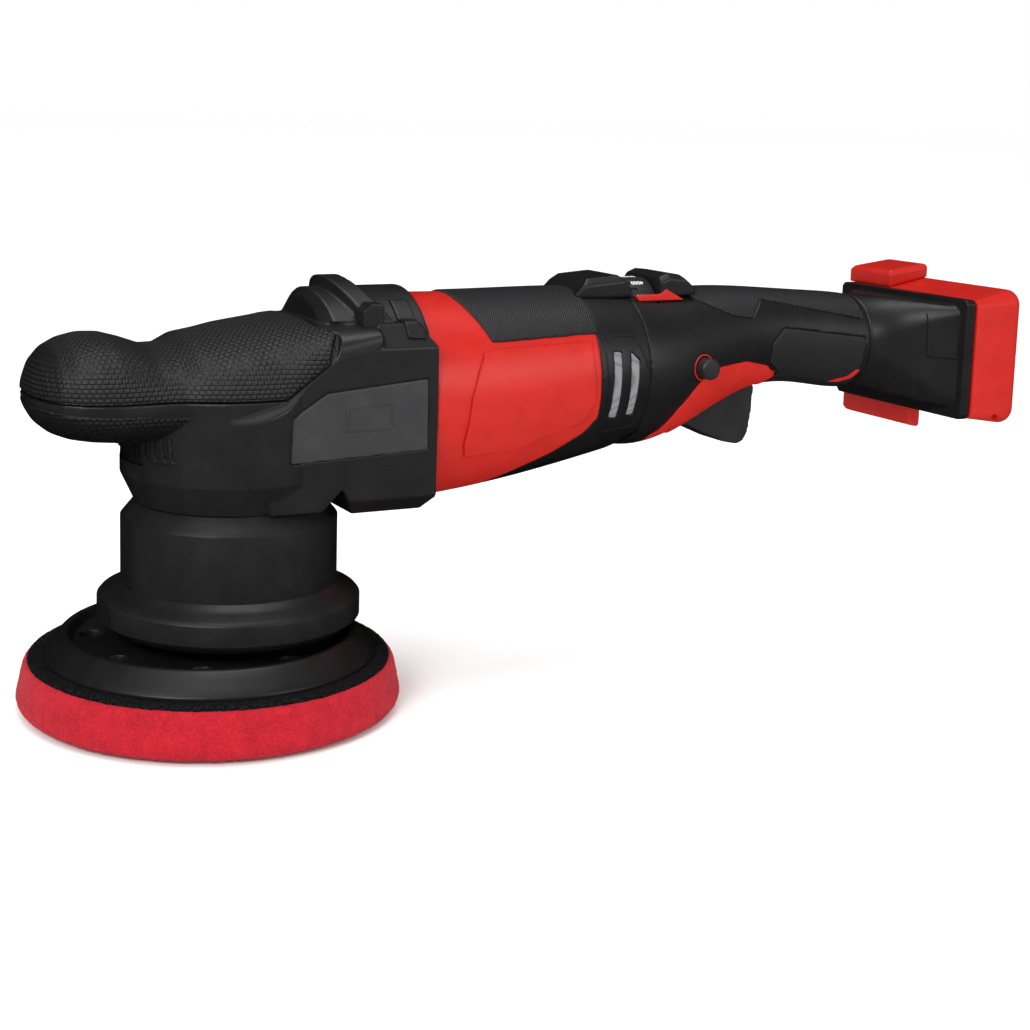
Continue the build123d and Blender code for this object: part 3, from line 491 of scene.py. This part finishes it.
add_object("head_casing", head_mesh, case_black, "body", ("gear_case", "nose_core"))

GRIP_DEPTH = 3.0
upper_side = [(-90, 122.6), (-80, 122.6), (-70, 120.9), (-57, 120.6), (-36, 120.6), (7.6, 120.6), (25.6, 133.4),
              (28.6, 141.0), (28.6, 160), (-90, 160)]
upper_plan = [(-90, -WIDE), (8.0, -WIDE), (28.6, -33.0), (23.5, -24.0), (23.5, 24.0), (28.6, 33.0), (8.0, WIDE),
              (-90, WIDE)]
upper = combined(grown(front_form, 0.55), prism(upper_side, -WIDE, WIDE), "INTERSECT")
upper = combined(upper, prism(upper_plan, 90, 170, "Z"), "INTERSECT")
upper = combined(upper, grown(front_form, -GRIP_DEPTH), "DIFFERENCE")
add_object("front_grip", softened(upper, 0.5, 3, 0.6), nose_rubber, "body",
           ("nose_grip_upper", "palm_pad"))
lower_side = [(-90, 119.6), (-78, 119.2), (-70, 117.6), (-57, 116.7), (-39, 115.9), (-24.0, 115.3),
              (-22.0, 114.0), (-21.6, 111.6), (-25.0, 108.6), (-32, 106.4), (-44, 98), (-90, 96)]
lower = combined(grown(front_form, 0.7), prism(lower_side, -WIDE, WIDE), "INTERSECT")
lower = combined(lower, grown(front_form, -GRIP_DEPTH), "DIFFERENCE")
add_object("nose_lower_grip", softened(lower, 0.5, 3, 0.6), nose_rubber, "body",
           ("nose_grip_lower",))

# ---------------------------------------------------------------- mouldings, from their CAD shapes
for node, voxel, rounds in (("motor_housing", 0.7, 3), ("vent_band", 0.5, 3), ("handle_left", 0.5, 3),
                            ("handle_right", 0.5, 3), ("handle_top_grip", 0.5, 2), ("handle_side_grips", 0.5, 2),
                            ("trigger_bezel", 0.5, 3), ("trigger", 0.5, 4), ("dial_guards", 0.5, 3),
                            ("battery_foot", 0.6, 4), ("side_panels", 0.45, 2)):
    moulded(node, voxel, rounds)
for node, width in (("neck_shroud", 0.5), ("skirt_ring", 0.5), ("backing_plate", 0.4), ("battery_carrier", 0.6),
                    ("speed_dial", 0.25), ("lock_button", 0.4)):
    edged(node, width)
LATCH_END, LATCH_PAST, LATCH_TOP = 328.0, 368.0, 106.0      # the lower latch ends short of the carrier
latch_end_cut = prism([(LATCH_END, 60), (LATCH_PAST, 60), (LATCH_PAST, LATCH_TOP), (LATCH_END, LATCH_TOP)],
                      -WIDE, WIDE)
latches = combined(softened(cad_mesh("latch_housings"), 0.45, 1), latch_end_cut, "DIFFERENCE")
add_object("latch_housing_skins", softened(latches, 0.45, 2, 0.5), red, "body",
           ("latch_housings",))


# ---------------------------------------------------------------- raised and sunken details
def frame_of(outline, width):
    """Outline and its inset copy, for a raised line around a shape."""
    centre = Vector((sum(x for x, z in outline), sum(z for x, z in outline))) / len(outline)
    inner = []
    for x, z in outline:
        arm = Vector((x, z)) - centre
        inner.append(tuple(centre + arm * (1 - width / arm.length)))
    return outline, inner


def plate_on(name, base, outline, height, side, material, node, inner=None, voxel=0.35, deep=1.0):
    """A plate standing proud of a skin on one side, cut to an X-Z outline, with an optional opening."""
    low, high = sorted((side * 4.0, side * WIDE))
    plate = combined(grown(base, height), prism(outline, low, high), "INTERSECT")
    plate = combined(plate, grown(base, -deep), "DIFFERENCE")
    if inner:
        plate = combined(plate, prism(inner, low - 1, high + 1), "DIFFERENCE")
    add_object(name, softened(plate, voxel, 2), material, body_of[node])


housing_panel = [(80.5, 99.5), (82.5, 116.8), (86.0, 127.0), (89.5, 133.6), (97.0, 134.8), (137.2, 136.0),
                 (137.8, 112.0), (133.6, 105.0), (116.3, 99.5), (104.3, 95.2), (82.0, 94.2)]
ridge_tab = [(40.1, 144.6), (40.0, 150.5), (43.6, 153.3), (48.4, 153.2), (48.5, 144.3)]
# A comb of ribs on a low bar, beneath the nose.
RIB_PITCH, RIB_COUNT, RIB_START = 2.2, 8, -47.5
BAR_LOW, BAR_TOP, RIB_TOP = 97.6, 98.8, 106.8
nose_ribs = [(RIB_START, BAR_LOW)]
for count in range(RIB_COUNT):
    rib_x = RIB_START + RIB_PITCH * count
    nose_ribs += [(rib_x - 0.4, RIB_TOP), (rib_x + 0.8, RIB_TOP), (rib_x + 1.2, BAR_TOP),
                  (rib_x + RIB_PITCH, BAR_TOP)]
nose_ribs += [(RIB_START + RIB_PITCH * RIB_COUNT, BAR_LOW)]
bezel_wing = [(175.4, 96.1), (181.2, 105.7), (188.0, 113.6), (194.0, 119.9), (203.2, 122.4), (218.1, 123.5),
              (231.0, 120.8), (238.5, 115.4), (234.1, 111.3), (222.4, 110.0), (213.9, 106.0), (202.8, 100.0),
              (192.4, 94.7), (185.1, 94.0)]
grip_base = softened(merged(skins["handle_left"], skins["handle_right"], skins["trigger_bezel"]), 0.6, 1)
plain_frame = [(30.6, 107.7), (30.6, 116.4), (48.6, 118.0), (49.1, 116.8), (49.1, 108.6), (48.0, 107.9)]
strap_tab = [(56.2, 141.2), (56.4, 153.0), (63.6, 153.0), (63.4, 140.6)]
foot_facet = [(305.7, 122.9), (305.4, 141.5), (315.2, 143.0), (315.6, 122.4)]
slot_rim = [(268.7, 110.9), (274.0, 110.6), (279.0, 112.6), (281.4, 116.6), (279.2, 116.8), (276.4, 113.6),
            (272.0, 112.2)]
vent_frame = [(143.0, 138.0), (158.0, 138.2), (161.6, 131.3), (164.2, 124.7), (162.6, 104.7), (159.4, 99.6),
              (144.5, 98.6)]
SIDES = ((-1, "near"), (1, "far"))
for side, tag in SIDES:
    plate_on("housing_panel_" + tag, skins["motor_housing"], housing_panel, 1.0, side, red, "motor_housing")
    low, high = sorted((side * 20.0, side * 31.4))
    add_object("ridge_tab_" + tag, softened(prism(ridge_tab, low, high), 0.25, 3), case_black, "body")
    plate_on("nose_vent_" + tag, skins["gear_case"], nose_ribs, 0.6, side, case_black, "gear_case")
    plate_on("bezel_wing_" + tag, grip_base, bezel_wing, 0.7, side, red, "trigger_bezel")
    outer, inner = frame_of(plain_frame, 1.0)
    plate_on("panel_frame_" + tag, skins["side_panels"], outer, 0.35, side, panel_grey, "side_panels", inner,
             0.3)
    plate_on("strap_end_" + tag, skins["gear_case"], strap_tab, 0.9, side, case_black, "gear_case")
    plate_on("foot_facet_" + tag, skins["battery_foot"], foot_facet, 0.5, side, shell_black, "battery_foot")
    plate_on("hook_slot_rim_" + tag, skins["handle_side_grips"], slot_rim, 0.5, side, red, "handle_side_grips")

PAD_STANDS = 0.7                # the pad on the motor housing, proud of its CAD solid
hatch_pad = grown(softened(cad_mesh("top_grip"), 0.5, 1), PAD_STANDS)
add_object("top_grip_skin", softened(hatch_pad, 0.45, 2, 0.5), hatch_rubber, "body",
           ("top_grip",))


def ring_of(x, z, radius, steps=40):
    """Circle as an X-Z outline."""
    return [(x + radius * math.cos(2 * math.pi * i / steps), z + radius * math.sin(2 * math.pi * i / steps))
            for i in range(steps)]


def box_mm(node):
    """Middle, half size and top of a CAD node, in millimetres."""
    low, high = (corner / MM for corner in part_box(node))
    return (low + high) / 2, (high - low) / 2, high.z


lock_at, lock_half = box_mm("lock_button")[:2]
lock_x, lock_z, lock_r = lock_at.x, lock_at.z, lock_half.x
lock_rim, lock_hole = ring_of(lock_x, lock_z, lock_r + 1.2), ring_of(lock_x, lock_z, lock_r + 0.45)
plate_on("lock_rim", skins["handle_left"], lock_rim, 0.35, -1, red, "trigger_bezel", lock_hole, 0.25)
for side, tag in SIDES:
    outer, inner = frame_of(vent_frame, 1.1)
    plate_on("vent_frame_" + tag, skins["vent_band"], outer, 0.35, side, shell_black, "vent_band", inner, 0.3)


# ---------------------------------------------------------------- foam pad and hook-and-loop layer
foam_at, foam_half, foam_t = box_mm("foam_pad")
loop_half, loop_top = box_mm("loop_layer")[1:]
pad_x, foam_r, loop_r = foam_at.x, foam_half.x, loop_half.x


def roughened(mesh, size, depth, name):
    """Soft uneven surface from a cloud texture."""
    obj = helper_object(mesh)
    cloud = bpy.data.textures.new(name, "CLOUDS")
    cloud.noise_scale, cloud.noise_depth = size * MM, 2
    push = obj.modifiers.new("push", "DISPLACE")
    push.texture, push.texture_coords = cloud, "LOCAL"
    push.strength, push.mid_level = depth * MM, 0.5
    return baked(obj)


foam_profile = [(0, 0.5), (foam_r - 22, 0.45), (foam_r - 7, 0.5), (foam_r - 4.2, 0.9), (foam_r - 2.2, 2.0),
                (foam_r - 1.0, 3.8), (foam_r - 0.9, 6.0), (foam_r - 1.6, 9.0), (loop_r + 2.2, foam_t - 1.6),
                (loop_r + 1.4, foam_t + 0.2), (loop_r + 0.3, foam_t + 0.9), (loop_r - 0.9, foam_t + 0.3),
                (0, foam_t - 0.2)]
foam_mesh = roughened(softened(lathe(foam_profile, pad_x), 0.9, 4), 7.0, 0.5, "swell")
foam_pad = add_object("foam_disc", roughened(foam_mesh, 1.3, 0.45, "cells"), foam, "pad",
                      ("foam_pad",))
loop_profile = [(0, foam_t - 0.2), (loop_r - 0.4, foam_t - 0.2), (loop_r + 0.1, foam_t + 0.3),
                (loop_r, loop_top - 0.4), (loop_r - 0.8, loop_top + 0.15), (0, loop_top - 0.1)]
loop_mesh = softened(lathe(loop_profile, pad_x), 0.5, 1)
add_object("loop_pile", roughened(loop_mesh, 0.7, 0.9, "pile"), fleece, "pad",
           ("loop_layer",))


# ---------------------------------------------------------------- speed dial markings
dial_at, dial_half = box_mm("speed_dial")[:2]
dial_axis = Vector((dial_at.x, 0, dial_at.z)) * MM
dial_r = dial_half.z
DIGIT_H, DIGIT_T, DIGIT_LIFT = 3.0, 0.12, 0.05
for number, angle in enumerate(range(-60, 151, 30), start=1):
    text = bpy.data.curves.new("digit", "FONT")
    text.body, text.size, text.extrude = str(number) + "000", DIGIT_H * MM, DIGIT_T * MM
    text.align_x, text.align_y = "CENTER", "CENTER"
    holder = bpy.data.objects.new("digit", text)
    bpy.context.scene.collection.objects.link(holder)
    spun = Matrix.Translation(dial_axis) @ Matrix.Rotation(math.radians(angle), 4, "X")
    lift = Matrix.Translation((0, 0, (dial_r + DIGIT_LIFT) * MM))
    holder_mesh = bpy.data.meshes.new_from_object(holder)
    holder_mesh.transform(spun @ lift @ Matrix.Rotation(math.pi, 4, "Z"))
    bpy.data.objects.remove(holder)
    add_object("dial_number_%d" % number, holder_mesh, digit_white, "speed_dial",
               smooth=False)
wedge = [(166.8, 151.4), (168.6, 149.2), (190.3, 149.2), (181.5, 153.8), (178.8, 151.8)]
for side, tag in SIDES:
    low, high = sorted((side * 12.8, side * 14.9))
    add_object("dial_mark_" + tag, softened(prism(wedge, low, high), 0.25, 2), red, "body")

# ---------------------------------------------------------------- floor, lights, camera
FLOOR_HALF = 40.0               # metres, so that no edge of the floor shows
floor_corners = [(x * FLOOR_HALF, y * FLOOR_HALF, 0) for x, y in ((-1, -1), (1, -1), (1, 1), (-1, 1))]
floor_mesh = bpy.data.meshes.new("floor")
floor_mesh.from_pydata(floor_corners, [], [(0, 1, 2, 3)])
floor = bpy.data.objects.new("floor", floor_mesh)
bpy.context.scene.collection.objects.link(floor)
floor_paint = Graph("floor_paint", 1.0)
floor_paint.set("Base Color", floor_paint.ramp(floor_paint.noise(60.0, 2.0), (0.3, (0.97, 0.97, 0.97)),
                                               (0.8, (0.985, 0.985, 0.985))))
floor.data.materials.append(floor_paint.mat)
floor.visible_glossy = False


def area_light(name, at, aim, size, power, tint=(1, 1, 1)):
    data = bpy.data.lights.new(name, "AREA")
    data.shape, data.size, data.size_y = "RECTANGLE", size[0], size[1]
    data.energy, data.color = power, tint
    lamp = bpy.data.objects.new(name, data)
    bpy.context.scene.collection.objects.link(lamp)
    lamp.location = at
    lamp.rotation_euler = (Vector(aim) - Vector(at)).to_track_quat("-Z", "Y").to_euler()
    return lamp


middle = (0.12, 0.0, 0.10)
area_light("key", (-1.1, -1.0, 1.0), middle, (0.7, 0.5), 15.0)
area_light("fill", (0.9, -1.5, 0.7), middle, (0.8, 0.6), 6.0)
area_light("top", (0.2, 0.1, 1.8), middle, (1.2, 0.6), 6.0)
area_light("over_head", (-0.1, -0.22, 1.5), (0.0, 0.0, 0.1), (0.4, 0.3), 2.0)
sun = bpy.data.objects.new("sky_fill", bpy.data.lights.new("sky_fill", "SUN"))
sun.data.energy, sun.data.angle = 0.35, math.radians(60)
bpy.context.scene.collection.objects.link(sun)
world = bpy.data.worlds.new("studio")
world.use_nodes = True
world.node_tree.nodes["Background"].inputs["Color"].default_value = (1.0, 1.0, 1.0, 1.0)
world.node_tree.nodes["Background"].inputs["Strength"].default_value = 1.0
world.cycles_visibility.glossy = False
bpy.context.scene.world = world
bpy.context.scene.view_settings.view_transform = "Standard"

# A pinhole view from the tool's left, ahead of the pad and above it, level but for a slight roll.
CAMERA_AT = (-222.1, -628.3, 227.2)
LOOK_LEFT, LOOK_DOWN, ROLL = math.radians(-25.984), math.radians(8.977), math.radians(1.313)
SENSOR = 36.0
forward = Vector((-math.sin(LOOK_LEFT) * math.cos(LOOK_DOWN), math.cos(LOOK_LEFT) * math.cos(LOOK_DOWN),
                  -math.sin(LOOK_DOWN)))
right = Vector((math.cos(LOOK_LEFT), math.sin(LOOK_LEFT), 0.0))
up = right.cross(forward)
right, up = right * math.cos(ROLL) + up * math.sin(ROLL), up * math.cos(ROLL) - right * math.sin(ROLL)
camera_data = bpy.data.cameras.new("camera")
camera_data.sensor_width = SENSOR
camera_data.lens = 62.89
camera_data.shift_x, camera_data.shift_y = 0.0796, -0.1262
camera_data.clip_start, camera_data.clip_end = 0.01, 20.0
camera = bpy.data.objects.new("camera", camera_data)
bpy.context.scene.collection.objects.link(camera)
turn = Matrix((right, up, -forward)).transposed().to_4x4()
camera.matrix_world = Matrix.Translation(Vector(CAMERA_AT) * MM) @ turn
bpy.context.scene.camera = camera

bpy.context.view_layer.update()
